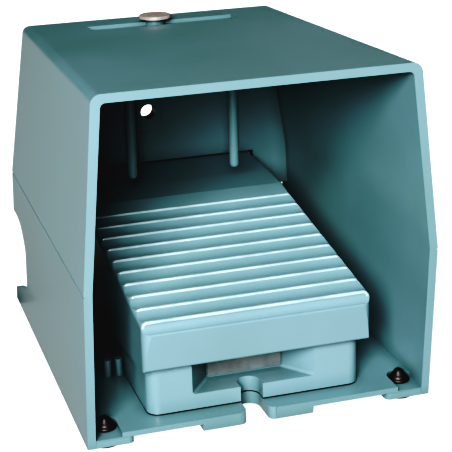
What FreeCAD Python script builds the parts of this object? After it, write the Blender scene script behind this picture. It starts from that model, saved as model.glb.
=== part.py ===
import FreeCAD, Part
import math
import os

from FreeCAD import Vector

# Industrial foot switch: a cast hood with its floor, a switch housing on the floor and a ribbed
# pedal hinged at the rear. Millimetres, +Z up. While it is built, y is measured from the front edge
# of the floor and z from the underside of the corner pads. Every piece is moved at the end so that
# the origin is the middle of the underside of the four rubber feet.

# Hood casting
base_width = 160.0
bend_width_front = 158.0
bend_width_rear = 155.4
top_width_front = 141.6
top_width_rear = 132.8
bend_height = 74.0
top_height_front = 157.2
top_height_rear = 151.5
floor_length = 186.0
bend_overhang = 7.9
top_overhang = 5.7
bend_setback = 4.6
top_setback = 7.6
wall = 3.8
top_corner_radius = 4.5
parting_groove = 0.5
floor_top = 6.0
floor_thickness = 2.6
rear_wall_low_edge = 52.0
notch_gap = 1.6
notch_side_gap = 0.6

# Cut in the rear of the left side wall, where a cable can leave sideways
side_cut_front = 148.0
side_cut_top = 52.0
side_cut_bottom = 17.0
side_cut_radius = 12.0
side_cut_lip = 0.7

# Foot pockets and the slot at the front of the floor
foot_side_inset = 10.2
foot_inset = 11.0
foot_drop = 3.0
foot_radius = 7.6
foot_neck_radius = 3.2
foot_barb_radius = 4.8
foot_barb_height = 5.6
foot_tip_radius = 1.3
corner_pad_width = 21.0
corner_pad_length = 24.0
corner_pad_lift = 2.0
pocket_margin = 0.5
pocket_floor = 3.8
pocket_corner = 5.0
slot_x = -2.2
slot_width = 10.4
slot_length = 19.2
slot_mouth_radius = 3.0
slot_pad_width = 17.5
slot_pad_length = 24.0
slot_pad_corner = 3.0

# Top of the hood: long recess with a round boss, and its metal cap
recess_length = 76.0
recess_width = 12.5
recess_depth = 1.8
recess_rear = 155.0
cap_x = -2.5
cap_radius = 8.1
cap_thickness = 1.6
cap_height = 3.4
cap_stem_radius = 4.0
cap_stem_length = 9.0
boss_radius = 7.2
boss_depth = 13.0
boss_floor = 3.0

# Inside of the hood: two cast rods, and the pad with the hanging hole
rod_spread = 53.0
rod_y = 119.0
rod_low_end = 81.4
rod_radius = 2.5
rod_draft = 0.5
hang_x = -4.1
hang_hole_radius = 4.0
hang_hole_height = 100.7
hang_pad_width = 13.0
hang_pad_low_end = 90.4
hang_pad_thickness = 2.2
peg_radius = 2.0
peg_height = 8.5
peg_gap = 0.2
peg_y = 57.5
peg_spacing = 5.4

# Switch housing
housing_side_gap = 0.6
housing_front = 9.4
housing_rear = 150.0
housing_height = 32.0
housing_wall = 3.5
housing_corner_radius = 5.5
housing_top_radius = 1.5
gasket_thickness = 0.6
window_x = -1.0
window_back_x = -1.2
window_width = 57.5
window_back_width = 35.5
window_corner = 1.5
window_depth = 14.6
window_low_edge = 13.7
window_top_edge = 28.0
plate_thickness = 1.2
plate_lift = 1.3
plate_flange = 9.0
plate_hole_width = 24.0
plate_hole_margin = 2.5
plate_side_gap = 0.2
plate_screw_radius = 1.5
plate_head_radius = 2.8
plate_head_height = 1.6
screw_slot = 0.7
screw_slot_depth = 0.8
screw_play = 0.2
fixing_inset = 7.8
fixing_front = 36.0
fixing_rear = 140.0
fixing_boss_radius = 5.2
fixing_radius = 2.0
fixing_head_radius = 3.6
fixing_head_height = 2.2
fixing_depth = 12.0

# Pivot, its ears on the housing and the shaft
pivot_y = 171.5
pivot_z = 58.7
knuckle_radius = 13.8
shaft_radius = 4.0
press_clearance = 0.02
running_clearance = 0.05
ear_inset = 5.9
ear_thickness = 8.0
ear_boss_radius = 8.0
ear_foot_length = 34.0
ear_arm_height = 5.0
ear_arm_reach = 0.2
bush_wall = 1.5
bush_flange_radius = 7.6
bush_flange = 1.0
clip_thickness = 0.9
clip_gap = 0.3
clip_radius = 6.8
clip_groove = 0.8
shaft_end = 0.8
shaft_chamfer = 0.5

# Pedal shell
pedal_width = 105.4
pedal_front = 2.2
pedal_lip_height = 48.2
pedal_corner = 4.5
skirt_low_front = 30.0
skirt_fall = 0.105
skirt_rake = 1.8
skirt_side = 2.2
skirt_front = 2.2
skirt_edge = 1.6
skirt_rear = 160.0
crest_front_y = 6.3
crest_front_z = 52.7
crest_pitch = 11.1
crest_rise = 1.72
crest_count = 10
flute_depth = 1.35
front_flute_depth = 0.9
crest_cap = 0.45
tread_edge = 3.0
tread_margin = 0.1
rear_tread_shares = [(0.181, 0.583), (0.472, 0.861), (0.848, 0.977)]
plate = 3.0
cheek_boss = 2.0
travel_degrees = 4.5

# Plunger, what pushes it and its boot
plunger_y = 104.5
plunger_radius = 5.0
plunger_top = 50.0
plunger_gap = 0.3
guide_radius = 9.0
guide_height = 10.0
yoke_length = 36.0
yoke_width = 8.0
yoke_thickness = 3.0
yoke_top = 27.2
yoke_corner = 2.0
boot_wall = 0.9
pad_radius = 6.0
pad_height = 3.2
pad_seat = 1.6
nut_width = 10.0
nut_height = 3.4
push_screw_radius = 3.0
push_boss_radius = 7.5
push_boss_length = 7.0

# Springs and rubber buffers
spring_inset = 18.9
spring_y = 62.0
spring_radius = 6.6
spring_wire = 0.9
spring_turns = 5
spring_cup_depth = 1.5
spring_peg = 6.0
spring_clearance = 0.6
return_wire = 0.45
return_radius = 3.2
return_turns = 5
buffer_inset = 15.9
buffer_y = 24.0
buffer_radius = 5.0
buffer_gap = 0.5
buffer_stem_radius = 2.5
buffer_stem = 2.5
rest_radius = 2.0
rest_gap = 0.3
rest_height = 3.0

# Contact blocks inside the housing
block_x = 14.5
block_width = 19.0
block_length = 46.0
block_height = 11.0
carrier_width = 6.0
carrier_length = 8.0
bridge_length = 27.0
bridge_width = 4.0
bridge_thickness = 0.8
bridge_height = 13.2
well_margin = 0.6
strip_thickness = 0.7
strip_width = 6.0
strip_lift = 1.0
strip_length = 13.0
terminal_step = 7.5
terminal_inset = 0.6
terminal_radius = 2.4
terminal_height = 2.0
block_screw_radius = 1.4
block_screw_inset = 2.6
block_head_extra = 1.0
block_head_height = 1.4

# Cable entries
entry_inset = 27.9
entry_z = 18.5
entry_radius = 8.0
entry_boss = 25.0
entry_boss_length = 5.0
gland_hex = 20.0
gland_collar = 4.5
gland_neck_radius = 8.4
gland_wall = 1.4
gland_nut_gap = 0.6
gland_neck = 5.0
gland_nut_length = 11.0
gland_dome = 3.0
gland_nut_hex = 20.0
cable_radius = 4.5
cable_play = 0.6
seal_length = 8.0
plug_radius = 10.2
plug_head = 3.2
plug_slot = 2.0
plug_slot_depth = 1.6
plug_edge = 0.8
ring_section = 0.9
entry_thread = 7.0
earth_x = 30.0
earth_y = 60.0
earth_radius = 2.0
earth_head_radius = 3.6
earth_head_height = 2.4
earth_clamp_width = 9.0
earth_clamp_length = 10.0
earth_clamp_height = 1.8
earth_clamp_corner = 1.5

half_length = (floor_length - bend_overhang) / 2
inner_rear = floor_length - top_setback - wall
foot_spread = base_width - 2 * foot_side_inset
housing_width = pedal_width - 2 * (skirt_side + housing_side_gap)
housing_bottom = floor_top + gasket_thickness
peg_x = housing_width / 2 + peg_gap + peg_radius + peg_spacing / 2
fixing_x = housing_width / 2 - fixing_inset
ear_inner = housing_width / 2 - ear_inset - ear_thickness
spring_x = housing_width / 2 - spring_inset
buffer_x = housing_width / 2 - buffer_inset
entry_x = housing_width / 2 - entry_inset
skirt_half = pedal_width / 2
slot_radius = slot_width / 2
slot_centre = slot_length - slot_radius
chamber_top = housing_height - housing_wall
lever = pivot_y - plunger_y
far = 400.0


def block(x, y, z):
    return Part.makeBox(x[1] - x[0], y[1] - y[0], z[1] - z[0], Vector(x[0], y[0], z[0]))


def upright(radius, x, y, z):
    return Part.makeCylinder(radius, z[1] - z[0], Vector(x, y, z[0]))


def crosswise(radius, y, z, x):
    return Part.makeCylinder(radius, x[1] - x[0], Vector(x[0], y, z), Vector(1, 0, 0))


def lengthwise(radius, x, z, y):
    return Part.makeCylinder(radius, y[1] - y[0], Vector(x, y[0], z), Vector(0, 1, 0))


def fuse(shapes):
    whole = shapes[0]
    for shape in shapes[1:]:
        whole = whole.fuse(shape)
    return whole.removeSplitter()


def outline(steps, place):
    # Closed wire. A step with two numbers is a straight run, one with four is an arc via a point.
    first = place(*steps[0])
    here = first
    edges = []
    for step in steps[1:]:
        end = place(*step[-2:])
        if len(step) == 4:
            edges.append(Part.Arc(here, place(*step[:2]), end).toShape())
        else:
            edges.append(Part.makeLine(here, end))
        here = end
    if here.distanceToPoint(first) > 1e-6:
        edges.append(Part.makeLine(here, first))
    return Part.Wire(edges)


def side_prism(steps, x):
    wire = outline(steps, lambda y, z: Vector(x[0], y, z))
    return Part.Face(wire).extrude(Vector(x[1] - x[0], 0, 0))


def turned(steps, x, y):
    wire = outline(steps, lambda r, z: Vector(x + r, y, z))
    return Part.Face(wire).revolve(Vector(x, y, 0), Vector(0, 0, 1), 360)


def turned_lengthwise(steps, x, z):
    wire = outline(steps, lambda r, y: Vector(x + r, y, z))
    return Part.Face(wire).revolve(Vector(x, 0, z), Vector(0, 1, 0), 360)


def rounded_plan(x, y, z, radius):
    # Slab with its four upright edges rounded
    turn = radius * (1 - math.sqrt(0.5))
    steps = [(x[0] + radius, y[0]), (x[1] - radius, y[0])]
    steps.append((x[1] - turn, y[0] + turn, x[1], y[0] + radius))
    steps.append((x[1], y[1] - radius))
    steps.append((x[1] - turn, y[1] - turn, x[1] - radius, y[1]))
    steps.append((x[0] + radius, y[1]))
    steps.append((x[0] + turn, y[1] - turn, x[0], y[1] - radius))
    steps.append((x[0], y[0] + radius))
    steps.append((x[0] + turn, y[0] + turn, x[0] + radius, y[0]))
    wire = outline(steps, lambda px, py: Vector(px, py, z[0]))
    return Part.Face(wire).extrude(Vector(0, 0, z[1] - z[0]))


def hexagon_corners(radius):
    angles = [math.radians(60 * i) for i in range(6)]
    return [(radius * math.cos(angle), radius * math.sin(angle)) for angle in angles]


def hexagon(width, x, y, z):
    corner = width / math.sqrt(3)
    wire = outline(hexagon_corners(corner), lambda px, py: Vector(x + px, y + py, z[0]))
    return Part.Face(wire).extrude(Vector(0, 0, z[1] - z[0]))


def hexagon_lengthwise(width, x, z, y):
    corner = width / math.sqrt(3)
    wire = outline(hexagon_corners(corner), lambda px, pz: Vector(x + px, y[0], z + pz))
    return Part.Face(wire).extrude(Vector(0, y[1] - y[0], 0))


def coil(radius, wire, x, y, z, turns):
    # Wire with a six-sided section, which keeps its surface light
    height = z[1] - z[0] - 2 * wire
    path = Part.Wire(Part.makeHelix(height / turns, height, radius))
    section = outline(hexagon_corners(wire), lambda px, pz: Vector(radius + px, 0, pz))
    spring = path.makePipeShell([section], True, True)
    spring.translate(Vector(x, y, z[0] + wire))
    return spring


def mirrored(shape):
    return shape.mirror(Vector(0, 0, 0), Vector(1, 0, 0))


def both_sides(shape):
    return [shape, mirrored(shape)]


def top_height(y):
    share = (y + bend_overhang) / (floor_length + bend_overhang)
    return top_height_front + (top_height_rear - top_height_front) * share


def hood_section(y, bend_half, top_half, height, inset, low, groove, radius):
    # Half widths at the floor, the bend and the top, all brought in by the inset
    foot = base_width / 2 - inset
    bend = bend_half - inset
    top = top_half - inset
    high = height - inset
    lean = math.atan2(bend_half - top_half, height - bend_height)
    reach = radius * math.tan((math.pi / 2 - lean) / 2)
    side = Vector(top + reach * math.sin(lean), 0, high - reach * math.cos(lean))
    centre = Vector(top - reach, 0, high - radius)
    middle = (Vector(top, 0, high) - centre).normalize() * radius + centre
    ledge = [(bend, bend_height - 2 * groove), (bend - groove, bend_height - groove)] if groove else []
    steps = [(-foot, low), (foot, low)] + ledge + [(bend, bend_height)]
    steps.append((side.x, side.z))
    steps.append((middle.x, middle.z, top - reach, high))
    steps.append((-(top - reach), high))
    steps.append((-middle.x, middle.z, -side.x, side.z))
    steps.append((-bend, bend_height))
    steps += [(-x, z) for x, z in reversed(ledge)]
    return outline(steps, lambda x, z: Vector(x, y, z))


def hood_body(inset, low, groove, radius):
    front = hood_section(-bend_overhang, bend_width_front / 2, top_width_front / 2, top_height_front,
                         inset, low, groove, radius)
    rear = hood_section(floor_length, bend_width_rear / 2, top_width_rear / 2, top_height_rear,
                        inset, low, groove, radius)
    return Part.makeLoft([front, rear], True, True)


def slot_cutter(z):
    # Upright cutter of the open slot at the front of the floor, with its mouth rounded out
    mouth = slot_radius + slot_mouth_radius
    turn = slot_mouth_radius * (1 - math.sqrt(0.5))
    steps = [(-mouth, -bend_overhang), (-mouth, 0)]
    steps.append((-slot_radius - turn, turn, -slot_radius, slot_mouth_radius))
    steps.append((-slot_radius, slot_centre))
    steps.append((0, slot_length, slot_radius, slot_centre))
    steps.append((slot_radius, slot_mouth_radius))
    steps.append((slot_radius + turn, turn, mouth, 0))
    steps.append((mouth, -bend_overhang))
    wire = outline(steps, lambda x, y: Vector(slot_x + x, y, z[0]))
    return Part.Face(wire).extrude(Vector(0, 0, z[1] - z[0]))


def foot_places():
    rear = floor_length - foot_inset
    return {"front_left": (-foot_spread / 2, foot_inset), "front_right": (foot_spread / 2, foot_inset),
            "rear_left": (-foot_spread / 2, rear), "rear_right": (foot_spread / 2, rear)}


def fixing_places():
    return [(x, y) for x in (-fixing_x, fixing_x) for y in (fixing_front, fixing_rear)]


def outer_hood():
    # The section swept from front to rear, trimmed to the side view. The rear top edge is rounded.
    rear = floor_length - top_setback
    start = rear - top_corner_radius
    crown = top_height(start)
    turn = top_corner_radius * (1 - math.sqrt(0.5))
    steps = [(0, 0), (-bend_overhang, bend_height), (-top_overhang, top_height_front), (-top_overhang, far)]
    steps += [(start, far), (start, crown)]
    steps.append((rear - turn, crown - turn, rear, crown - top_corner_radius))
    steps += [(floor_length - bend_setback, bend_height), (floor_length, 0)]
    trim = side_prism(steps, (-far, far))
    return hood_body(0, 0, parting_groove, top_corner_radius).common(trim)


def side_cut():
    # Cut seen from the side: open to the rear, rounded at the top and at the bottom, its lower edge
    # falling to a low lip at the rear
    start = side_cut_front
    high = side_cut_radius
    low = side_cut_radius / 2
    turn = 1 - math.sqrt(0.5)
    steps = [(floor_length + far, side_cut_top), (start + 2 * high, side_cut_top)]
    steps.append((start + high, side_cut_top - high * 0.2, start, side_cut_top - high))
    steps.append((start, side_cut_bottom + low))
    steps.append((start + low * turn, side_cut_bottom + low * turn, start + low, side_cut_bottom))
    steps += [(floor_length, floor_top + side_cut_lip), (floor_length + far, floor_top + side_cut_lip)]
    return steps


def hood():
    shape = outer_hood()
    hollow = hood_body(wall, floor_top, 0, top_corner_radius / 2)
    front_part = block((-far, far), (-far, inner_rear), (0, far))
    rear_part = block((-far, far), (0, far), (0, rear_wall_low_edge))
    shape = shape.cut(hollow.common(fuse([front_part, rear_part])))
    shape = shape.cut(knuckle_notch())
    inside = base_width / 2 - wall
    under = block((-inside, inside), (-1, floor_length + 1), (-1, floor_top - floor_thickness))
    for x, y in foot_places().values():
        pad_x = base_width / 2 - corner_pad_width
        low_y = 0 if y < half_length else floor_length - corner_pad_length
        pad = block((pad_x, base_width / 2), (low_y, low_y + corner_pad_length),
                    (-corner_pad_lift, floor_top))
        under = under.cut(pad if x > 0 else mirrored(pad))
    tongue_x = slot_radius + slot_mouth_radius + slot_pad_width
    tongue = rounded_plan((slot_x - tongue_x, slot_x + tongue_x), (-slot_pad_length, slot_pad_length),
                          (-corner_pad_lift, floor_top), slot_pad_corner)
    under = under.cut(tongue)
    shape = shape.cut(under)
    for x, y in foot_places().values():
        reach = foot_barb_radius + pocket_margin
        far_end = -2 * pocket_corner if y < half_length else floor_length + 2 * pocket_corner
        near_end = y + reach if y < half_length else y - reach
        span = (min(far_end, near_end), max(far_end, near_end))
        pocket = rounded_plan((foot_spread / 2 - reach, base_width / 2 - wall), span,
                              (pocket_floor, floor_top + 1), pocket_corner)
        shape = shape.cut(pocket if x > 0 else mirrored(pocket))
        shape = shape.cut(upright(foot_neck_radius, x, y, (-1, floor_top)))
    shape = shape.cut(slot_cutter((-1, floor_top + 1)))
    shape = shape.cut(side_prism(side_cut(), (-far, 0)))
    for x, y in fixing_places():
        shape = shape.cut(upright(fixing_radius + screw_play, x, y, (-1, floor_top + 1)))
    return hood_fittings(shape)


def knuckle_notch():
    # Room in the rear wall for the pedal's knuckle and the shaft's ends, open below
    half = clip_place()[1] + shaft_end + notch_side_gap
    round_part = crosswise(knuckle_radius + notch_gap, pivot_y, pivot_z, (-half, half))
    lower = block((-half, half), (inner_rear - 1, floor_length + 1), (rear_wall_low_edge - 1, pivot_z))
    return fuse([round_part, lower])


def hood_fittings(shape):
    # Recess, boss, rods, hanging pad and pegs
    surface = top_height(recess_rear)
    floor = surface - recess_depth
    recess = block((-recess_length / 2, recess_length / 2), (recess_rear - recess_width, recess_rear),
                   (floor, far))
    shape = shape.cut(recess)
    boss_low = surface - wall - boss_depth
    boss = upright(boss_radius, cap_x, recess_rear, (boss_low, surface + cap_height - cap_thickness))
    shape = shape.fuse(boss)
    shape = shape.cut(upright(cap_stem_radius, cap_x, recess_rear, (boss_low + boss_floor, far)))
    rods = []
    for x in (-rod_spread / 2, rod_spread / 2):
        ceiling = top_height(rod_y) - wall / 2
        steps = [(0, rod_low_end)]
        turn = rod_radius * math.sqrt(0.5)
        steps.append((turn, rod_low_end + rod_radius - turn, rod_radius, rod_low_end + rod_radius))
        steps += [(rod_radius + rod_draft, ceiling), (0, ceiling)]
        rods.append(turned(steps, x, rod_y))
    pad = block((hang_x - hang_pad_width / 2, hang_x + hang_pad_width / 2),
                (inner_rear - hang_pad_thickness, inner_rear + wall / 2),
                (hang_pad_low_end, top_height(inner_rear) - wall / 2))
    pegs = []
    for middle in (-peg_x, peg_x):
        for x in (middle - peg_spacing / 2, middle + peg_spacing / 2):
            pegs.append(upright(peg_radius, x, peg_y,
                                (floor_top - floor_thickness / 2, floor_top + peg_height)))
    shape = fuse([shape] + rods + [pad] + pegs)
    return shape.cut(lengthwise(hang_hole_radius, hang_x, hang_hole_height, (half_length, floor_length)))


def cap():
    surface = top_height(recess_rear)
    head = (surface + cap_height - cap_thickness, surface + cap_height)
    disc = upright(cap_radius, cap_x, recess_rear, head)
    rim = [e for e in disc.Edges if e.Closed and e.BoundBox.ZMin > head[1] - 0.01]
    disc = disc.makeFillet(cap_thickness / 4, rim)
    stem = upright(cap_stem_radius - press_clearance, cap_x, recess_rear,
                   (head[0] - cap_stem_length, head[0]))
    return fuse([disc, stem])


def foot(x, y):
    # Rubber foot pushed up through the corner pad, held by its cone
    neck = foot_neck_radius - press_clearance
    steps = [(0, -foot_drop), (foot_radius - 1, -foot_drop), (foot_radius, 0), (neck, 0)]
    steps.append((neck, pocket_floor))
    tip = pocket_floor + foot_barb_height
    steps += [(foot_barb_radius, pocket_floor), (foot_barb_radius, pocket_floor + 0.8)]
    steps.append((foot_tip_radius, tip - 0.7 * foot_tip_radius))
    steps += [(0.8 * foot_tip_radius, tip - 0.2 * foot_tip_radius, 0.4 * foot_tip_radius, tip), (0, tip)]
    return turned(steps, x, y)


def ear():
    # Upright plate with the shaft's boss, and an arm behind it that carries the rest buffer
    x = (ear_inner, ear_inner + ear_thickness)
    low = housing_height - housing_top_radius / 3
    arm_end = pivot_y + knuckle_radius + ear_arm_reach
    arm_top = pivot_z - rest_height - rest_gap
    lead = pivot_y + ear_boss_radius * 0.6
    steps = [(housing_rear - ear_foot_length, low), (housing_rear, low)]
    steps += [(arm_end, arm_top - ear_arm_height), (arm_end, arm_top), (lead, arm_top)]
    steps += [(pivot_y, arm_top + rest_height / 3), (pivot_y - ear_boss_radius, pivot_z)]
    return fuse([side_prism(steps, x), crosswise(ear_boss_radius, pivot_y, pivot_z, x)])


def switch_housing():
    half = housing_width / 2
    shape = rounded_plan((-half, half), (housing_front, housing_rear), (housing_bottom, housing_height),
                         housing_corner_radius)
    top_edges = [e for e in shape.Edges if e.BoundBox.ZMin > housing_height - 0.01]
    shape = shape.makeFillet(housing_top_radius, top_edges)
    pocket_back = housing_front + window_depth
    chamber = rounded_plan((-half + housing_wall, half - housing_wall),
                           (pocket_back + housing_wall, housing_rear - housing_wall),
                           (0, chamber_top), housing_corner_radius - 2)
    shape = shape.cut(chamber)
    columns = []
    for x, y in fixing_places():
        columns.append(upright(fixing_boss_radius, x, y, (housing_bottom, chamber_top + 1)))
    guide = upright(guide_radius, 0, plunger_y, (chamber_top, housing_height + guide_height))
    entries = []
    for x in (-entry_x, entry_x):
        reach = (housing_rear - housing_wall - 1, housing_rear + entry_boss_length)
        entries.append(lengthwise(entry_boss / 2 - 1, x, entry_z, reach))
    ears = both_sides(ear())
    shape = fuse([shape] + columns + [guide] + entries + ears)
    front_face = window_wire(housing_front - 0.01, window_x, window_width / 2)
    back_face = window_wire(pocket_back, window_back_x, window_back_width / 2)
    shape = shape.cut(Part.makeLoft([front_face, back_face], True, True))
    shape = shape.cut(slot_cutter((0, window_low_edge + window_corner)))
    hole_low = window_low_edge + plate_lift + plate_hole_margin
    shape = shape.cut(block((window_back_x - plate_hole_width / 2, window_back_x + plate_hole_width / 2),
                            (pocket_back - 1, pocket_back + housing_wall + 1),
                            (hole_low, window_top_edge - plate_hole_margin)))
    for x in plate_screw_places():
        shape = shape.cut(upright(plate_screw_radius, x, plate_screw_y(),
                                  (window_top_edge - 1, plate_screw_end())))
    for x, y in fixing_places():
        shape = shape.cut(upright(fixing_radius, x, y, (0, housing_bottom + fixing_depth + 1)))
    shape = shape.cut(upright(plunger_radius + running_clearance, 0, plunger_y, (0, far)))
    for x in (-entry_x, entry_x):
        shape = shape.cut(lengthwise(entry_radius, x, entry_z, (half_length, floor_length)))
        face = housing_rear + entry_boss_length
        shape = shape.cut(lengthwise(entry_radius + ring_section, x, entry_z,
                                     (face - ring_section, floor_length)))
    shape = shape.cut(crosswise(shaft_radius + press_clearance, pivot_y, pivot_z, (-far, far)))
    for x in (-spring_x, spring_x):
        shape = shape.cut(upright(spring_radius + spring_wire + spring_clearance, x, spring_y,
                                  (housing_height - spring_cup_depth, far)))
    for x in (-buffer_x, buffer_x):
        shape = shape.cut(upright(buffer_stem_radius, x, buffer_y, (housing_height - buffer_stem, far)))
    return shape


def window_wire(y, middle, half):
    # Opening of the window at one depth, its lower corners rounded
    turn = window_corner * (1 - math.sqrt(0.5))
    steps = [(half, window_low_edge + window_corner), (half, window_top_edge), (-half, window_top_edge)]
    steps.append((-half, window_low_edge + window_corner))
    steps.append((turn - half, window_low_edge + turn, window_corner - half, window_low_edge))
    steps.append((half - window_corner, window_low_edge))
    steps.append((half - turn, window_low_edge + turn, half, window_low_edge + window_corner))
    return outline(steps, lambda x, z: Vector(middle + x, y, z))


def plate_screw_places():
    return (window_back_x - window_back_width / 4, window_back_x + window_back_width / 4)


def plate_screw_y():
    return housing_front + window_depth - plate_thickness - plate_flange / 2


def plate_screw_end():
    return housing_height - (housing_height - window_top_edge) / 4


def gasket():
    half = housing_width / 2
    pocket_back = housing_front + window_depth
    z = (floor_top, housing_bottom)
    shape = rounded_plan((-half, half), (housing_front, housing_rear), z, housing_corner_radius)
    hole = rounded_plan((-half + housing_wall, half - housing_wall),
                        (pocket_back + housing_wall, housing_rear - housing_wall), (0, far),
                        housing_corner_radius - 2)
    shape = shape.cut(hole).cut(slot_cutter((0, far)))
    rings = [upright(fixing_boss_radius, x, y, z) for x, y in fixing_places()]
    shape = fuse([shape] + rings)
    for x, y in fixing_places():
        shape = shape.cut(upright(fixing_radius + screw_play, x, y, (0, far)))
    return shape


def fixing_screws():
    under = floor_top - floor_thickness
    screws = []
    for x, y in fixing_places():
        head = upright(fixing_head_radius, x, y, (under - fixing_head_height, under))
        socket_depth = (under - fixing_head_height - 1, under - fixing_head_height / 2)
        socket = hexagon(fixing_head_radius, x, y, socket_depth)
        shank = upright(fixing_radius, x, y, (under, housing_bottom + fixing_depth))
        screws.append(fuse([head, shank]).cut(socket))
    return Part.makeCompound(screws)


def cover_plate():
    back = housing_front + window_depth
    half = window_back_width / 2 - plate_side_gap
    x = (window_back_x - half, window_back_x + half)
    leaf = block(x, (back - plate_thickness, back), (window_low_edge + plate_lift, window_top_edge))
    flange = block(x, (back - plate_thickness - plate_flange, back),
                   (window_top_edge - plate_thickness, window_top_edge))
    shape = fuse([leaf, flange])
    upper = [e for e in shape.Edges if e.BoundBox.ZMin > window_top_edge - 0.01]
    bend = [e for e in upper if e.BoundBox.YMin > back - 0.01]
    shape = shape.makeFillet(plate_thickness * 0.8, bend)
    for x in plate_screw_places():
        shape = shape.cut(upright(plate_screw_radius + screw_play, x, plate_screw_y(), (0, far)))
    return shape


def cover_plate_screws():
    screws = []
    under = window_top_edge - plate_thickness
    low = under - plate_head_height
    for x in plate_screw_places():
        head = upright(plate_head_radius, x, plate_screw_y(), (low, under))
        shank = upright(plate_screw_radius, x, plate_screw_y(), (under, plate_screw_end()))
        screws.append(fuse([head, shank]).cut(driver_slot(x, plate_screw_y(), plate_head_radius, low)))
    return Part.makeCompound(screws)


def driver_slot(x, y, radius, z):
    # Slot for a screwdriver, cut to both sides of the given height
    return block((x - screw_slot / 2, x + screw_slot / 2), (y - radius - 1, y + radius + 1),
                 (z - screw_slot_depth, z + screw_slot_depth))


def crest(i):
    return crest_front_y + crest_pitch * i, crest_front_z + crest_rise * i


def tread_line():
    # From the front lip over the crests to the plain rear part. Each flute is a hollow arc and each
    # crest a small round cap.
    drop = crest_cap * 0.35
    lip = (pedal_front + 0.9, pedal_lip_height)
    steps = [(pedal_front, pedal_lip_height - 1.0),
             (pedal_front + 0.2, pedal_lip_height - 0.3, *lip)]
    previous = lip
    for i in range(crest_count):
        y, z = crest(i)
        start = (y - crest_cap, z - drop)
        depth = flute_depth if i else front_flute_depth
        slope = math.atan2(start[1] - previous[1], start[0] - previous[0])
        middle = ((previous[0] + start[0]) / 2 + depth * math.sin(slope),
                  (previous[1] + start[1]) / 2 - depth * math.cos(slope))
        steps.append((*middle, *start))
        previous = (y + crest_cap, z - drop)
        steps.append((y, z, *previous))
    return steps


def skirt_low(y):
    return skirt_low_front - skirt_fall * (y - pedal_front)


def rear_tread():
    # Plain rear part of the tread, from the last crest to the top of the knuckle
    y, z = crest(crest_count - 1)
    length = pivot_y - y
    rise = pivot_z + knuckle_radius - z
    return [(y + length * along, z + rise * up) for along, up in rear_tread_shares]


def knuckle(radius, start, end):
    # Arc about the pivot, given by two angles from the rear
    middle = (start + end) / 2
    points = []
    for angle in (middle, end):
        turn = math.radians(angle)
        points += [pivot_y + radius * math.cos(turn), pivot_z + radius * math.sin(turn)]
    return tuple(points)


def pedal_profile():
    edge = pedal_front + skirt_rake
    turn = skirt_edge * (1 - math.sqrt(0.5))
    low = skirt_low(edge)
    steps = [(edge + skirt_edge, low), (edge + turn, low + turn, edge, low + skirt_edge)] + tread_line()
    steps += rear_tread() + [(pivot_y, pivot_z + knuckle_radius)]
    steps.append(knuckle(knuckle_radius, 90, 0))
    steps.append((pivot_y + ear_boss_radius, pivot_z - knuckle_radius))
    steps.append((skirt_rear, skirt_low(skirt_rear)))
    return steps


def pedal_hollow():
    # Inside of the shell, open below, and open behind under the shaft's height
    inner = knuckle_radius - plate
    front = pedal_front + skirt_front
    first = crest(0)
    last = crest(crest_count - 1)
    deep = plate + flute_depth
    steps = [(front + skirt_rake + 2, -far), (front + skirt_rake, skirt_low_front)]
    steps.append((front, first[1] - deep - skirt_front))
    steps += [(first[0] + 2, first[1] - deep), (last[0], last[1] - deep)]
    steps += [(y, z - plate) for y, z in rear_tread()] + [(pivot_y, pivot_z + inner)]
    steps.append(knuckle(inner, 90, 0))
    steps += [(pivot_y + far, pivot_z), (pivot_y + far, -far)]
    inside = skirt_half - skirt_side
    corners = rounded_plan((-inside, inside), (front, far), (-far, far), pedal_corner - skirt_front)
    return side_prism(steps, (-inside, inside)).common(corners)


def pedal_slab():
    # Slab that follows the tread and has its upper side edges rounded
    turn = tread_edge * (1 - math.sqrt(0.5))
    last = crest(crest_count - 1)
    places = [(0, crest_z_at(0)), last] + rear_tread()
    places += [(y, pivot_z + knuckle_radius) for y in (pivot_y, floor_length)]
    sections = []
    for y, z in places:
        top = z + tread_margin
        steps = [(-skirt_half, 0), (skirt_half, 0), (skirt_half, top - tread_edge)]
        steps.append((skirt_half - turn, top - turn, skirt_half - tread_edge, top))
        steps.append((tread_edge - skirt_half, top))
        steps.append((turn - skirt_half, top - turn, -skirt_half, top - tread_edge))
        sections.append(outline(steps, lambda x, height, y=y: Vector(x, y, height)))
    return Part.makeLoft(sections, True, True)


def pedal():
    body = side_prism(pedal_profile(), (-pedal_width, pedal_width))
    corners = rounded_plan((-skirt_half, skirt_half), (pedal_front, far), (-far, far), pedal_corner)
    shape = pedal_slab().common(body).common(corners).cut(pedal_hollow())
    inside = skirt_half - skirt_side
    adds = []
    for side in (-1, 1):
        boss = crosswise(ear_boss_radius, pivot_y, pivot_z, (inside - cheek_boss, inside + 1))
        adds.append(boss if side > 0 else mirrored(boss))
    ceiling = crest_z_at(spring_y) - plate
    for x in (-spring_x, spring_x):
        adds.append(upright(spring_radius - spring_wire - spring_clearance, x, spring_y,
                            (ceiling - spring_peg, ceiling)))
    adds.append(upright(push_boss_radius, 0, plunger_y, (push_boss_low(), crest_z_at(plunger_y) - plate)))
    shape = fuse([shape] + adds)
    shape = shape.cut(upright(push_screw_radius, 0, plunger_y, (0, push_boss_low() + push_boss_length + 1)))
    bore = shaft_radius + running_clearance + bush_wall
    return shape.cut(crosswise(bore, pivot_y, pivot_z, (-far, far)))


def crest_z_at(y):
    return crest_front_z + crest_rise * (y - crest_front_y) / crest_pitch


def under_tread(y):
    return crest_z_at(y) - plate - flute_depth


def push_boss_low():
    return plunger_top + plunger_gap + pad_height + nut_height


def actuator_screw():
    low = plunger_top + plunger_gap + pad_seat
    return upright(push_screw_radius, 0, plunger_y, (low, push_boss_low() + push_boss_length))


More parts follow.
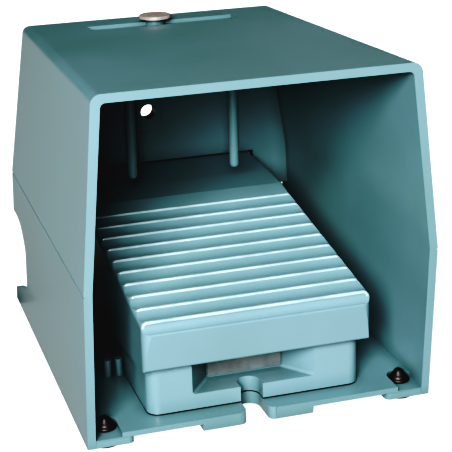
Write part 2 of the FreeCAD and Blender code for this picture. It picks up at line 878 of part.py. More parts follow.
def actuator_nut():
    low = push_boss_low() - nut_height
    nut = hexagon(nut_width, 0, plunger_y, (low, push_boss_low()))
    return nut.cut(upright(push_screw_radius, 0, plunger_y, (0, far)))


def actuator_pad():
    low = plunger_top + plunger_gap
    steps = [(0, low), (pad_radius * 0.6, low + 0.15, pad_radius - 0.4, low + 1.2), (pad_radius, low + 1.8)]
    steps += [(pad_radius, low + pad_height), (0, low + pad_height)]
    body = turned(steps, 0, plunger_y)
    return body.cut(upright(push_screw_radius, 0, plunger_y, (low + pad_seat, far)))


def bush():
    inside = skirt_half - skirt_side - cheek_boss
    outer = shaft_radius + running_clearance + bush_wall
    sleeve = crosswise(outer, pivot_y, pivot_z, (inside, skirt_half))
    flange = crosswise(bush_flange_radius, pivot_y, pivot_z, (skirt_half, skirt_half + bush_flange))
    bore = crosswise(shaft_radius + running_clearance, pivot_y, pivot_z, (0, far))
    return fuse([sleeve, flange]).cut(bore)


def clip_place():
    start = skirt_half + bush_flange + clip_gap
    return start, start + clip_thickness


def clip():
    x = clip_place()
    ring = crosswise(clip_radius, pivot_y, pivot_z, x)
    ring = ring.cut(crosswise(shaft_radius - clip_groove, pivot_y, pivot_z, x))
    gap = block(x, (pivot_y - shaft_radius + 1, pivot_y + shaft_radius - 1), (pivot_z - far, pivot_z))
    return ring.cut(gap)


def pivot_shaft():
    end = clip_place()[1] + shaft_end
    shape = crosswise(shaft_radius, pivot_y, pivot_z, (-end, end))
    tips = [e for e in shape.Edges if e.Closed]
    shape = shape.makeChamfer(shaft_chamfer, tips)
    x = clip_place()
    collar = crosswise(shaft_radius + 1, pivot_y, pivot_z, x)
    collar = collar.cut(crosswise(shaft_radius - clip_groove, pivot_y, pivot_z, x))
    for ring in both_sides(collar):
        shape = shape.cut(ring)
    return shape


def plunger():
    stem = upright(plunger_radius, 0, plunger_y, (yoke_top, plunger_top))
    rim = [e for e in stem.Edges if e.Closed and e.BoundBox.ZMin > plunger_top - 0.01]
    stem = stem.makeFillet(1.2, rim)
    yoke = rounded_plan((-yoke_length / 2, yoke_length / 2),
                        (plunger_y - yoke_width / 2, plunger_y + yoke_width / 2),
                        (yoke_top - yoke_thickness, yoke_top), yoke_corner)
    return fuse([stem, yoke])


def plunger_boot():
    # Bellows from the guide's rim to just under the plunger's head
    low = housing_height + guide_height
    high = plunger_top - 1.5
    inner = plunger_radius + 0.25
    step = (high - low) / 4
    outer_line = [(guide_radius, low), (guide_radius - 1.2, low + step), (guide_radius, low + 2 * step),
                  (guide_radius - 2.2, low + 3 * step), (inner + boot_wall + 0.6, high)]
    inner_line = [(inner, high), (guide_radius - 2.2 - boot_wall, low + 3 * step - boot_wall),
                  (guide_radius - boot_wall, low + 2 * step), (guide_radius - 1.2 - boot_wall, low + step),
                  (guide_radius - boot_wall, low)]
    return turned(outer_line + inner_line, 0, plunger_y)


def return_spring(x):
    low = housing_height - spring_cup_depth
    high = under_tread(spring_y - spring_radius - spring_wire)
    return coil(spring_radius, spring_wire, x, spring_y, (low, high - 0.2), spring_turns)


def plunger_spring():
    z = (floor_top, yoke_top - yoke_thickness)
    return coil(return_radius, return_wire, 0, plunger_y, z, return_turns)


def buffer_top():
    # Just under the tread when the pedal is fully down
    y = buffer_y - buffer_radius - pivot_y
    z = under_tread(buffer_y - buffer_radius) - pivot_z
    turn = math.radians(travel_degrees)
    return pivot_z + y * math.sin(turn) + z * math.cos(turn) - buffer_gap


def travel_buffer(x):
    top = buffer_top()
    stem = buffer_stem_radius - press_clearance
    steps = [(0, housing_height - buffer_stem), (stem, housing_height - buffer_stem)]
    steps += [(stem, housing_height), (buffer_radius, housing_height), (buffer_radius, top - 1.5)]
    steps.append((buffer_radius - 0.6, top - 0.5, buffer_radius - 1.8, top))
    steps.append((0, top))
    return turned(steps, x, buffer_y)


def rest_buffer(x):
    top = pivot_z - rest_gap
    y = pivot_y + knuckle_radius + ear_arm_reach - rest_radius
    return upright(rest_radius, x, y, (top - rest_height, top))


def contact_block(x):
    # Base of one contact block: a well for the carrier and its bridge, and steps for the terminals
    half = block_width / 2
    y = (plunger_y - block_length / 2, plunger_y + block_length / 2)
    shape = block((x - half, x + half), y, (floor_top, floor_top + block_height))
    well = block((x - bridge_width / 2 - well_margin, x + bridge_width / 2 + well_margin),
                 (plunger_y - bridge_length / 2 - well_margin, plunger_y + bridge_length / 2 + well_margin),
                 (floor_top + strip_lift, far))
    side = carrier_width / 2 + well_margin
    reach = carrier_length / 2 + well_margin
    slide = block((x - side, x + side), (plunger_y - reach, plunger_y + reach),
                  (floor_top + strip_lift, far))
    shape = shape.cut(fuse([well, slide]))
    for strip in block_strips(x):
        shape = shape.cut(strip)
    for sign in (-1, 1):
        end = plunger_y + sign * block_length / 2
        inner = end - sign * terminal_step
        step = block((x - half, x + half), (min(end, inner), max(end, inner)),
                     (floor_top + strip_lift + strip_thickness, far))
        shape = shape.cut(step)
    for place in block_screw_places(x):
        shape = shape.cut(upright(block_screw_radius, *place, (0, far)))
    return shape


def block_screw_places(x):
    side = block_width / 2 - block_screw_inset
    reach = block_length / 2 - strip_length
    return [(x - side, plunger_y - reach), (x + side, plunger_y + reach)]


def block_strips(x):
    strips = []
    low = floor_top + strip_lift
    for sign in (-1, 1):
        end = plunger_y + sign * block_length / 2
        inner = end - sign * strip_length
        strips.append(block((x - strip_width / 2, x + strip_width / 2), (min(end, inner), max(end, inner)),
                            (low, low + strip_thickness)))
    return strips


def fixed_contacts():
    strips = block_strips(-block_x) + block_strips(block_x)
    return Part.makeCompound(strips)


def terminal_screws():
    low = floor_top + strip_lift + strip_thickness
    screws = []
    for x in (-block_x, block_x):
        for sign in (-1, 1):
            y = plunger_y + sign * (block_length / 2 - terminal_radius - terminal_inset)
            head = upright(terminal_radius, x, y, (low, low + terminal_height))
            screws.append(head.cut(driver_slot(x, y, terminal_radius, low + terminal_height)))
    return Part.makeCompound(screws)


def block_screws():
    top = floor_top + block_height
    screws = []
    for x in (-block_x, block_x):
        for px, py in block_screw_places(x):
            shank = upright(block_screw_radius, px, py, (floor_top, top))
            head = upright(block_screw_radius + block_head_extra, px, py, (top, top + block_head_height))
            screws.append(fuse([shank, head]))
    return Part.makeCompound(screws)


def contact_carriers():
    carriers = []
    for x in (-block_x, block_x):
        y = (plunger_y - carrier_length / 2, plunger_y + carrier_length / 2)
        body = block((x - carrier_width / 2, x + carrier_width / 2), y,
                     (bridge_height, yoke_top - yoke_thickness))
        eye = block((x - bridge_width / 2, x + bridge_width / 2), y,
                    (bridge_height, bridge_height + bridge_thickness))
        carriers.append(body.cut(eye))
    return Part.makeCompound(carriers)


def contact_bridges():
    bridges = []
    for x in (-block_x, block_x):
        y = (plunger_y - bridge_length / 2, plunger_y + bridge_length / 2)
        bridges.append(block((x - bridge_width / 2, x + bridge_width / 2), y,
                             (bridge_height, bridge_height + bridge_thickness)))
    return Part.makeCompound(bridges)


def earth_screw():
    seat = floor_top + earth_clamp_height
    head = upright(earth_head_radius, earth_x, earth_y, (seat, seat + earth_head_height))
    shank = upright(earth_radius, earth_x, earth_y, (floor_top, seat))
    slot = driver_slot(earth_x, earth_y, earth_head_radius, seat + earth_head_height)
    return fuse([head, shank]).cut(slot)


def earth_clamp():
    half = earth_clamp_width / 2
    reach = earth_clamp_length / 2
    shape = rounded_plan((earth_x - half, earth_x + half), (earth_y - reach, earth_y + reach),
                         (floor_top, floor_top + earth_clamp_height), earth_clamp_corner)
    return shape.cut(upright(earth_radius, earth_x, earth_y, (0, far)))


def gland_body():
    face = housing_rear + entry_boss_length
    shank = lengthwise(entry_radius, -entry_x, entry_z, (face - entry_thread, face))
    collar = hexagon_lengthwise(gland_hex, -entry_x, entry_z, (face, face + gland_collar))
    neck_start = face + gland_collar
    neck = lengthwise(gland_neck_radius, -entry_x, entry_z, (neck_start, neck_start + gland_neck))
    bore = lengthwise(cable_radius + 1, -entry_x, entry_z, (0, floor_length))
    return fuse([shank, collar, neck]).cut(bore)


def gland_seal():
    start = housing_rear + entry_boss_length + gland_collar + gland_neck
    tube = lengthwise(gland_neck_radius - gland_wall, -entry_x, entry_z, (start, start + seal_length))
    return tube.cut(lengthwise(cable_radius, -entry_x, entry_z, (0, floor_length)))


def gland_nut():
    start = housing_rear + entry_boss_length + gland_collar + gland_nut_gap
    end = start + gland_nut_length + gland_dome
    body = hexagon_lengthwise(gland_nut_hex, -entry_x, entry_z, (start, start + gland_nut_length))
    steps = [(0, start), (gland_nut_hex / 2, start), (gland_nut_hex / 2, end - gland_dome - 1)]
    steps.append((gland_nut_hex / 2 - 1, end - gland_dome / 2, cable_radius + cable_play + 1, end))
    steps.append((0, end))
    shape = fuse([body, turned_lengthwise(steps, -entry_x, entry_z)])
    neck_end = start - gland_nut_gap + gland_neck
    shape = shape.cut(lengthwise(gland_neck_radius, -entry_x, entry_z, (start - 1, neck_end)))
    shape = shape.cut(lengthwise(gland_neck_radius - gland_wall, -entry_x, entry_z,
                                 (neck_end, neck_end + seal_length)))
    return shape.cut(lengthwise(cable_radius + cable_play, -entry_x, entry_z, (0, floor_length)))


def seal_ring(x):
    face = housing_rear + entry_boss_length
    steps = [(entry_radius, face - ring_section), (entry_radius + ring_section, face - ring_section),
             (entry_radius + ring_section, face), (entry_radius, face)]
    return turned_lengthwise(steps, x, entry_z)


def blanking_plug():
    face = housing_rear + entry_boss_length
    shank = lengthwise(entry_radius, entry_x, entry_z, (face - entry_thread, face))
    head = lengthwise(plug_radius, entry_x, entry_z, (face, face + plug_head))
    rim = [e for e in head.Edges if e.Closed and e.BoundBox.YMin > face + plug_head - 0.01]
    head = head.makeFillet(plug_edge, rim)
    groove = block((entry_x - plug_radius, entry_x + plug_radius),
                   (face + plug_head - plug_slot_depth, floor_length),
                   (entry_z - plug_slot / 2, entry_z + plug_slot / 2))
    return fuse([shank, head]).cut(groove)


def save(name, shape):
    shape = shape.copy()
    shape.translate(Vector(0, -half_length, foot_drop))
    shape.exportStep("parts/" + name + ".step")
    print(name, round(shape.Volume / 1000, 2), "cm3", len(shape.Solids), shape.isValid())


os.makedirs("parts", exist_ok=True)

save("hood", hood())
save("socket_cap", cap())
for place, (x, y) in foot_places().items():
    save("foot_" + place, foot(x, y))
save("switch_housing", switch_housing())
save("housing_gasket", gasket())
save("housing_screws", fixing_screws())
save("cover_plate", cover_plate())
save("cover_plate_screws", cover_plate_screws())
save("pivot_shaft", pivot_shaft())
save("shaft_clip_right", clip())
save("shaft_clip_left", mirrored(clip()))
save("pivot_bush_right", bush())
save("pivot_bush_left", mirrored(bush()))
save("pedal", pedal())
save("actuator_screw", actuator_screw())
save("actuator_nut", actuator_nut())
save("actuator_pad", actuator_pad())
save("plunger", plunger())
save("plunger_boot", plunger_boot())
save("plunger_spring", plunger_spring())
for side, sign in (("left", -1), ("right", 1)):
    save("return_spring_" + side, return_spring(sign * spring_x))
    save("travel_buffer_" + side, travel_buffer(sign * buffer_x))
    save("rest_buffer_" + side, rest_buffer(sign * (ear_inner + ear_thickness / 2)))
    save("contact_block_" + side, contact_block(sign * block_x))
save("fixed_contacts", fixed_contacts())
save("terminal_screws", terminal_screws())
save("block_screws", block_screws())
save("contact_carriers", contact_carriers())
save("contact_bridges", contact_bridges())
save("earth_screw", earth_screw())
save("earth_clamp", earth_clamp())
save("gland_body", gland_body())
save("gland_seal", gland_seal())
save("gland_nut", gland_nut())
save("entry_ring_left", seal_ring(-entry_x))
save("entry_ring_right", seal_ring(entry_x))
save("blanking_plug", blanking_plug())

print("pivot", 0, pivot_y - half_length, pivot_z + foot_drop, "lever", lever, "travel", travel_degrees)
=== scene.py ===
import math

import bmesh
import bpy
from mathutils import Matrix, Vector


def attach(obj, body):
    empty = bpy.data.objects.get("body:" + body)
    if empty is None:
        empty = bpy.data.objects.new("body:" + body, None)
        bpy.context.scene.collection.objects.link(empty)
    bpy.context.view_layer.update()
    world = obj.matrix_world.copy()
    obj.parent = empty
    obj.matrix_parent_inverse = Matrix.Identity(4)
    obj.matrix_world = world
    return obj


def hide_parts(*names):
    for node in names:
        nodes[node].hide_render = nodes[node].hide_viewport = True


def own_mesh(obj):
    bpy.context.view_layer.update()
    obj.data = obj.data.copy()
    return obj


# Industrial foot switch: enamelled hood over a fluted pedal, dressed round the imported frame
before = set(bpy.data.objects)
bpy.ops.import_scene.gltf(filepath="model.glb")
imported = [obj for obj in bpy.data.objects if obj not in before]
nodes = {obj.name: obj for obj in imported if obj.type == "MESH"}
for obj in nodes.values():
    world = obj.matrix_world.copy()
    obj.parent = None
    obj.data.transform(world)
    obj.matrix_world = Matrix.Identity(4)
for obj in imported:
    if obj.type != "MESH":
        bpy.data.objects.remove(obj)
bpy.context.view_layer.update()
mm = 0.001
print("stage: frame loaded,", len(nodes), "nodes")


def toLinear(hexColour):
    # sRGB hex such as "7FA9AD" turned into linear light
    channels = [int(hexColour[i:i + 2], 16) / 255 for i in (0, 2, 4)]
    linear = [c / 12.92 if c <= 0.04045 else ((c + 0.055) / 1.055) ** 2.4 for c in channels]
    return (*linear, 1.0)


def addNode(tree, kind, settings=None, inputs=None):
    # settings: the node's own choices, or the stops of a colour ramp
    # inputs: for each socket a plain value, or the output that feeds it
    node = tree.nodes.new(kind)
    for key, value in (settings or {}).items():
        if key == "stops":
            elements = node.color_ramp.elements
            while len(elements) < len(value):
                elements.new(0.5)
            for element, (place, colour) in zip(elements, value):
                element.position = place
                element.color = toLinear(colour)
        else:
            setattr(node, key, value)
    for key, value in (inputs or {}).items():
        if isinstance(value, bpy.types.NodeSocket):
            tree.links.new(value, node.inputs[key])
        else:
            node.inputs[key].default_value = value
    return node


def newMaterial(name):
    # an empty material with its Object coordinates ready
    material = bpy.data.materials.new(name)
    material.use_nodes = True
    tree = material.node_tree
    tree.nodes.clear()
    return material, tree, addNode(tree, "ShaderNodeTexCoord").outputs["Object"]


def closeMaterial(tree, surface):
    # surface: the shader's sockets, each with its pattern or plain value
    shader = addNode(tree, "ShaderNodeBsdfPrincipled", inputs=surface)
    addNode(tree, "ShaderNodeOutputMaterial", inputs={"Surface": shader.outputs["BSDF"]})


def enamel(name, paint):
    # Stove enamel sprayed over die-cast aluminium: a smooth glossy coat with a fine orange peel,
    # the slow unevenness of the casting under it, a little dust, and painted shade: a dark colour
    # laid into corners and hollows.
    # Sizes in mm; the dust is drawn some times coarser than real dust, so that it shows
    material, tree, place = newMaterial(name)
    layers = {"cloud": (3.0, 0.5), "grit": (2.0, 0.6), "peel": (1.0, 0.5), "wave": (1.0, 0.5)}
    noise = {}
    for layer, (detail, rough) in layers.items():
        noise[layer] = addNode(tree, "ShaderNodeTexNoise", inputs={
            "Vector": place, "Scale": 1 / (paint[layer] * mm), "Detail": detail,
            "Roughness": rough}).outputs["Fac"]
    tint = addNode(tree, "ShaderNodeValToRGB", {
        "stops": [(0.32, paint["deep"]), (0.5, paint["base"]), (0.72, paint["light"])]},
        {"Fac": noise["cloud"]})
    speck = addNode(tree, "ShaderNodeValToRGB", {"stops": [(0.70, "000000"), (0.78, "FFFFFF")]},
                    {"Fac": noise["grit"]})
    amount = addNode(tree, "ShaderNodeMath", {"operation": "MULTIPLY"},
                     {0: speck.outputs["Color"], 1: paint["speck"]})
    dusty = addNode(tree, "ShaderNodeMix", {"data_type": "RGBA"}, {
        0: amount.outputs[0], 6: tint.outputs["Color"], 7: toLinear(paint["dust"])})
    # painted shade: where ambient occlusion finds other surfaces close by, in corners, recesses and
    # between parts, the colour goes towards a dark teal
    hollow = addNode(tree, "ShaderNodeAmbientOcclusion", {"samples": 8},
                     {"Distance": paint["hollow"] * mm})
    depth = addNode(tree, "ShaderNodeMapRange", inputs={
        "Value": hollow.outputs["AO"], "From Min": 0.25, "From Max": 0.85,
        "To Min": paint["hollowShade"], "To Max": 0.0})
    hollowShaded = addNode(tree, "ShaderNodeMix", {"data_type": "RGBA"}, {
        0: depth.outputs["Result"], 6: dusty.outputs[2], 7: toLinear(paint["hollowShadeColour"])})
    gloss = addNode(tree, "ShaderNodeMapRange", inputs={
        "Value": noise["cloud"], "To Min": paint["gloss"][0], "To Max": paint["gloss"][1]})
    fine = addNode(tree, "ShaderNodeBump", inputs={
        "Height": noise["peel"], "Strength": paint["peelBump"], "Distance": 0.05 * mm})
    broad = addNode(tree, "ShaderNodeBump", inputs={
        "Height": noise["wave"], "Strength": paint["waveBump"], "Distance": 0.6 * mm,
        "Normal": fine.outputs["Normal"]})
    closeMaterial(tree, {
        "Base Color": hollowShaded.outputs[2], "Roughness": gloss.outputs["Result"],
        "Normal": broad.outputs["Normal"], "IOR": 1.5, "Coat Weight": paint["coat"],
        "Coat Roughness": paint["coatGloss"], "Specular IOR Level": paint["level"]})
    return material


# the dark teal 1E3133 is painted shade, laid into corners and recesses within the hollow reach in
# mm
enamelOnHood = {
    "deep": "688689", "base": "6B898E", "light": "6F8D93", "dust": "A9B9B9", "hollowShadeColour": "1E3133",
    "cloud": 60, "grit": 0.9, "peel": 1.6, "wave": 22, "hollow": 11,
    "speck": 0.25, "hollowShade": 0.55, "gloss": (0.36, 0.46), "level": 0.5,
    "coat": 0.08, "coatGloss": 0.06, "peelBump": 0.25, "waveBump": 0.12}
enamelOnPedal = {
    **enamelOnHood, "deep": "6F8D91", "base": "729197", "light": "76959C",
    "wave": 14, "gloss": (0.3, 0.4), "coat": 0.3, "coatGloss": 0.07}
enamelOnHousing = {**enamelOnPedal, "wave": 12, "hollow": 16, "hollowShade": 0.5}
# the crests of the tread: the same enamel, glossier where the soles rub it, and painted lighter as
# a highlight along each crest
enamelPaintedLightOnCrests = {
    **enamelOnPedal, "deep": "95AEB2", "base": "A5BDC1", "light": "B6CCD0",
    "cloud": 9, "gloss": (0.2, 0.28), "coat": 1.0, "coatGloss": 0.12,
    "peelBump": 0.1, "waveBump": 0.05}


def metal(name, finish):
    # Plated or bare metal: slight stains, and a grain in the reflection that is drawn coarser
    # than the real one, so that it shows. Sizes in mm
    material, tree, place = newMaterial(name)
    stain = addNode(tree, "ShaderNodeTexNoise", inputs={
        "Vector": place, "Scale": 1 / (finish["stain"] * mm), "Detail": 4.0})
    grain = addNode(tree, "ShaderNodeTexNoise", inputs={
        "Vector": place, "Scale": 1 / (finish["grain"] * mm), "Detail": 3.0})
    tint = addNode(tree, "ShaderNodeValToRGB", {
        "stops": [(0.35, finish["dark"]), (0.62, finish["light"])]}, {"Fac": stain.outputs["Fac"]})
    rough = addNode(tree, "ShaderNodeMapRange", inputs={
        "Value": grain.outputs["Fac"], "To Min": finish["rough"][0], "To Max": finish["rough"][1]})
    bump = addNode(tree, "ShaderNodeBump", inputs={
        "Height": grain.outputs["Fac"], "Strength": 0.2, "Distance": 0.04 * mm})
    closeMaterial(tree, {
        "Base Color": tint.outputs["Color"], "Roughness": rough.outputs["Result"],
        "Normal": bump.outputs["Normal"], "Metallic": finish.get("bare", 1.0)})
    return material


def moulded(name, finish):
    # Rubber or plastic from a mould: matte skin with the fine grain of a spark-eroded mould,
    # drawn coarser than the real one, so that it shows. Sizes in mm
    material, tree, place = newMaterial(name)
    cloud = addNode(tree, "ShaderNodeTexNoise", inputs={
        "Vector": place, "Scale": 1 / (finish["cloud"] * mm), "Detail": 4.0})
    grain = addNode(tree, "ShaderNodeTexNoise", inputs={
        "Vector": place, "Scale": 1 / (finish["grain"] * mm), "Detail": 1.0})
    tint = addNode(tree, "ShaderNodeValToRGB", {
        "stops": [(0.3, finish["dark"]), (0.7, finish["light"])]}, {"Fac": cloud.outputs["Fac"]})
    rough = addNode(tree, "ShaderNodeMapRange", inputs={
        "Value": cloud.outputs["Fac"], "To Min": finish["rough"][0], "To Max": finish["rough"][1]})
    bump = addNode(tree, "ShaderNodeBump", inputs={
        "Height": grain.outputs["Fac"], "Strength": 0.3, "Distance": 0.06 * mm})
    closeMaterial(tree, {
        "Base Color": tint.outputs["Color"], "Roughness": rough.outputs["Result"],
        "Normal": bump.outputs["Normal"], "IOR": finish["ior"]})
    return material


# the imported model's slots, each with what its real material gives the eye
finishes = {
    # blue-green enamel, glossy, deeper in tone where no light falls on it
    "hood_enamel": enamel("StoveEnamelOnCastHood", enamelOnHood),
    "pedal_enamel": enamel("StoveEnamelOnCastPedal", enamelOnPedal),
    "housing_enamel": enamel("StoveEnamelOnCastHousing", enamelOnHousing),
    # black and dull, with a soft highlight on its round edges
    "rubber": moulded("MouldedRubber", {
        "dark": "141414", "light": "1E1E1E", "cloud": 6, "grain": 0.7,
        "rough": (0.42, 0.54), "ior": 1.52}),
    # bluish white plating that mirrors softly
    "zinc_steel": metal("ZincPlatedSteel", {
        "dark": "A9ABA6", "light": "C4C5C0", "stain": 4, "grain": 0.5, "rough": (0.28, 0.42)}),
    # drawn wire, grey, with a bright line along its crown
    "spring_steel": metal("SpringSteelWire", {
        "dark": "83848A", "light": "9C9DA2", "stain": 3, "grain": 0.6, "rough": (0.25, 0.38)}),
    # pale bare metal, silky from the tool
    "bare_cap": metal("TurnedAluminium", {
        "dark": "C2B4AA", "light": "D6C9BF", "stain": 3, "grain": 0.4, "rough": (0.3, 0.42)}),
    # brown and dull from its open, oily grain
    "bush_bronze": metal("SinteredBronze", {
        "dark": "A5794A", "light": "BE9160", "stain": 2, "grain": 0.4, "rough": (0.38, 0.52)}),
    # yellow, bright from the rolls
    "contact_brass": metal("RolledBrass", {
        "dark": "C4A257", "light": "D9BC74", "stain": 3, "grain": 0.5, "rough": (0.22, 0.36)}),
    # nearly black, hard and half matte
    "block_plastic": moulded("ThermosetMoulding", {
        "dark": "202123", "light": "2B2C2F", "cloud": 8, "grain": 0.6,
        "rough": (0.42, 0.55), "ior": 1.55}),
    # ivory and slightly waxy
    "carrier_plastic": moulded("NaturalPolyamide", {
        "dark": "C4BBA2", "light": "D5CDB6", "cloud": 8, "grain": 0.6,
        "rough": (0.38, 0.5), "ior": 1.53}),
    # dark grey, its skin dulled by the glass fibres
    "gland_plastic": moulded("GlassFilledPolyamide", {
        "dark": "2A2C2E", "light": "36393B", "cloud": 8, "grain": 0.6,
        "rough": (0.4, 0.52), "ior": 1.53}),
}
print("stage: materials,", len(finishes))


def addObject(name, mesh):
    thing = bpy.data.objects.new(name, mesh)
    bpy.context.scene.collection.objects.link(thing)
    return thing


def smooth(mesh, crease):
    # smooth faces; edges that turn by more than the crease, in degrees, stay sharp
    mesh.polygons.foreach_set("use_smooth", [True] * len(mesh.polygons))
    mesh.set_sharp_from_angle(angle=math.radians(crease))


# mm for the weld, degrees for flat faces and creases
merging = {"weld": 0.002, "flat": 0.4, "crease": 30}


def mergedCopy(nodeName, pieceName):
    # The node's loose triangles joined, and its flat faces made whole again
    work = bmesh.new()
    work.from_mesh(nodes[nodeName].data)
    bmesh.ops.remove_doubles(work, verts=work.verts, dist=merging["weld"] * mm)
    bmesh.ops.dissolve_limit(work, angle_limit=math.radians(merging["flat"]),
                             verts=work.verts, edges=work.edges)
    mesh = bpy.data.meshes.new(pieceName)
    work.to_mesh(mesh)
    work.free()
    for layer in list(mesh.attributes):
        if layer.name.startswith("custom_normal"):
            mesh.attributes.remove(layer)
    smooth(mesh, merging["crease"])
    return addObject(pieceName, mesh)


def dress(nodeName, pieceName, body, slotName, edge, steps=2):
    # Bevelled copy of a node in its slot's finish; edge is the width of the bevel in mm
    piece = mergedCopy(nodeName, pieceName)
    bevel = piece.modifiers.new("brokenEdges", "BEVEL")
    bevel.width = edge * mm
    bevel.segments = steps
    bevel.limit_method = "ANGLE"
    bevel.angle_limit = math.radians(merging["crease"])
    bevel.miter_outer = "MITER_ARC"
    bevel.use_clamp_overlap = True
    bevel.harden_normals = True
    piece.data.materials.clear()
    piece.data.materials.append(finishes[slotName])
    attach(piece, body)
    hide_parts(nodeName)
    return piece


# the hood: its cast edges are broken by the tumbling before the enamel goes on
hoodShell = dress("hood", "hoodShell", "base", "hood_enamel", edge=0.7, steps=3)

# the cast notch in the rear wall stands closer to the knuckle than the free space kept in the
# model, at its top corners too; axis in Y and Z, side and castSide are distances from the middle
notch = {"axis": (82.45, 61.7), "free": 15.4, "cast": 14.2, "side": 56.3, "castSide": 54.6}
# the boss under the cap is hidden by it; axis in X and Y
capBoss = {"axis": (-2.5, 65.95), "free": 7.2, "cast": 4.8, "above": 150.0}
# how near in mm a corner lies to one of these
near = {"radius": 0.05, "side": 0.1}
for vertex in hoodShell.data.vertices:
    x, y, z = (value / mm for value in vertex.co)
    fromAxis = Vector((y, z)) - Vector(notch["axis"])
    reach = fromAxis.length
    if abs(reach - notch["free"]) < near["radius"]:
        share = notch["cast"] / reach
        vertex.co.y = (notch["axis"][0] + fromAxis.x * share) * mm
        vertex.co.z = (notch["axis"][1] + fromAxis.y * share) * mm
    if abs(abs(x) - notch["side"]) < near["side"] and fromAxis.x > 0 and fromAxis.y > 0:
        vertex.co.x = math.copysign(notch["castSide"], x) * mm
    fromBoss = Vector((x, y)) - Vector(capBoss["axis"])
    reach = fromBoss.length
    if abs(reach - capBoss["free"]) < near["radius"] and z > capBoss["above"]:
        share = capBoss["cast"] / reach
        vertex.co.x = (capBoss["axis"][0] + fromBoss.x * share) * mm
        vertex.co.y = (capBoss["axis"][1] + fromBoss.y * share) * mm

# round ends of the two pads that carry the front feet
padEnd = {"x": 59.0, "near": 0.1, "below": 8.0, "rise": 2.0, "radius": 2.4, "steps": 5}
work = bmesh.new()
work.from_mesh(hoodShell.data)
corners = []
for edge in work.edges:
    atEnd = all(abs(abs(vertex.co.x) - padEnd["x"] * mm) < padEnd["near"] * mm
                and vertex.co.z < padEnd["below"] * mm for vertex in edge.verts)
    if atEnd and abs(edge.verts[0].co.z - edge.verts[1].co.z) > padEnd["rise"] * mm:
        corners.append(edge)
bmesh.ops.bevel(work, geom=corners, offset=padEnd["radius"] * mm, segments=padEnd["steps"],
                profile=0.5, affect="EDGES")
work.to_mesh(hoodShell.data)
work.free()

# turned, pressed and moulded pieces, with the edge in mm each one has left from its making
smallPieces = {
    "foot_front_left": ("footFrontLeft", "base", "rubber", 0.35),
    "foot_front_right": ("footFrontRight", "base", "rubber", 0.35),
    "foot_rear_left": ("footRearLeft", "base", "rubber", 0.35),
    "foot_rear_right": ("footRearRight", "base", "rubber", 0.35),
    "pivot_shaft": ("pivotShaft", "base", "zinc_steel", 0.15),
    "shaft_clip_left": ("shaftClipLeft", "base", "spring_steel", 0.12),
    "shaft_clip_right": ("shaftClipRight", "base", "spring_steel", 0.12),
    "pivot_bush_left": ("pivotBushLeft", "pedal", "bush_bronze", 0.15),
    "pivot_bush_right": ("pivotBushRight", "pedal", "bush_bronze", 0.15),
    "actuator_screw": ("actuatorScrew", "pedal", "zinc_steel", 0.2),
    "actuator_nut": ("actuatorNut", "pedal", "zinc_steel", 0.3),
    "actuator_pad": ("actuatorPad", "pedal", "carrier_plastic", 0.15),
    "plunger": ("plungerStem", "plunger", "zinc_steel", 0.25),
    "travel_buffer_left": ("travelBufferLeft", "base", "rubber", 0.25),
    "travel_buffer_right": ("travelBufferRight", "base", "rubber", 0.25),
    "rest_buffer_left": ("restBufferLeft", "base", "rubber", 0.3),
    "rest_buffer_right": ("restBufferRight", "base", "rubber", 0.3),
    "gland_body": ("glandBody", "base", "gland_plastic", 0.3),
    "gland_nut": ("glandNut", "base", "gland_plastic", 0.35),
    "blanking_plug": ("blankingPlug", "base", "gland_plastic", 0.3),
}
for nodeName, (pieceName, body, slotName, edge) in smallPieces.items():
    dress(nodeName, pieceName, body, slotName, edge)

# the plate behind the window: galvanised sheet gone dull, greyer than the plated parts
plate = dress("cover_plate", "windowCoverPlate", "base", "zinc_steel", edge=0.15)
plate.data.materials[0] = metal("DullGalvanisedSheet", {
    "dark": "6A7476", "light": "7A8587", "stain": 7, "grain": 0.7,
    "rough": (0.5, 0.62), "bare": 0.5})

# the cap over the slot: bare zinc casting under its pale oxide skin, nearly without a mirror
cap = dress("socket_cap", "capOverSlot", "base", "bare_cap", edge=0.35, steps=3)
cap.data.materials[0] = metal("OxidisedZincCasting", {
    "dark": "8E8A87", "light": "A29E9A", "stain": 3, "grain": 0.5,
    "rough": (0.5, 0.62), "bare": 0.25})

# whatever is carried over as it is takes the finish of its slot
for thing in nodes.values():
    for holder in thing.material_slots:
        if holder.material and holder.material.name in finishes:
            holder.material = finishes[holder.material.name]


def newTree(name, inputs):
    # Geometry tree with named sizes; inputs: name -> (socket kind, value)
    tree = bpy.data.node_groups.new(name, "GeometryNodeTree")
    tree.interface.new_socket("Geometry", in_out="OUTPUT", socket_type="NodeSocketGeometry")
    tree.interface.new_socket("Start", in_out="INPUT", socket_type="NodeSocketGeometry")
    for title, (kind, value) in inputs.items():
        socket = tree.interface.new_socket(title, in_out="INPUT", socket_type="NodeSocket" + kind)
        if value is not None:
            socket.default_value = value
    return tree, tree.nodes.new("NodeGroupInput").outputs


def closeTree(tree, geometry, material):
    # real triangles in one material, as the export needs them
    whole = addNode(tree, "GeometryNodeRealizeInstances", inputs={"Geometry": geometry})
    finished = addNode(tree, "GeometryNodeSetMaterial", inputs={
        "Geometry": whole.outputs["Geometry"], "Material": material})
    addNode(tree, "NodeGroupOutput", inputs={"Geometry": finished.outputs["Geometry"]})
    return tree


